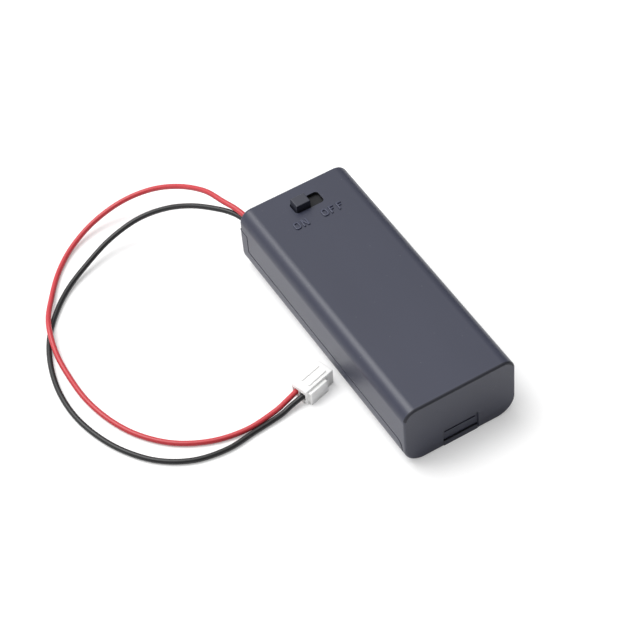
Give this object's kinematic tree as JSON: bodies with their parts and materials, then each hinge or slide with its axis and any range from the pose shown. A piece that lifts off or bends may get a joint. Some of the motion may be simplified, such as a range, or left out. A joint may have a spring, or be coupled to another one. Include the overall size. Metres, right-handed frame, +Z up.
{
  "type": "battery_holder",
  "caption": "Enclosed black AAA battery box with a slide switch on top, a sliding battery cover, and red and black leads to a small white plug",
  "frame": {"origin": "middle of the case's underside", "axes": "X along the case, +X to the end with the tongue notch; Y across, -Y to the side where the plug lies; Z up, switch on top"},
  "size_m": [0.0946, 0.078, 0.0182],
  "materials": {
    "case": "fine satin",
    "knob": "fine satin",
    "nickel": "nickel plated",
    "steel": "plated sheet",
    "brass": "silvered",
    "board": "phenolic sheet",
    "solder": "solder",
    "tin": "tin plated",
    "red_skin": "soft PVC",
    "black_skin": "soft PVC",
    "plug": "nylon"
  },
  "bodies": {
    "case": {"upper_shell": "case", "negative_contact": "nickel", "negative_spring": "nickel", "positive_contact": "nickel", "bridge_contact": "nickel", "bridge_spring": "nickel", "switch_can": "steel", "switch_base": "board", "terminal_on": "brass", "terminal_common": "brass", "terminal_off": "brass", "jumper_wire": "red_skin", "red_tail": "red_skin", "black_tail": "black_skin", "solder_on": "solder", "solder_common": "solder", "solder_positive": "solder", "solder_negative": "solder", "red_lead": "red_skin", "black_lead": "black_skin", "plug_housing": "plug", "red_crimp": "tin", "black_crimp": "tin"},
    "cover": {"slide_cover": "case"},
    "switch": {"switch_knob": "knob", "switch_wiper": "brass"}
  },
  "joints": [
    {"name": "cover_slide", "type": "slide", "parent": "case", "child": "cover", "axis": [-1, 0, 0], "range_m": [0, 0.054]},
    {"name": "switch_slide", "type": "slide", "parent": "case", "child": "switch", "axis": [0, 1, 0], "range_m": [0, 0.003]}
  ]
}
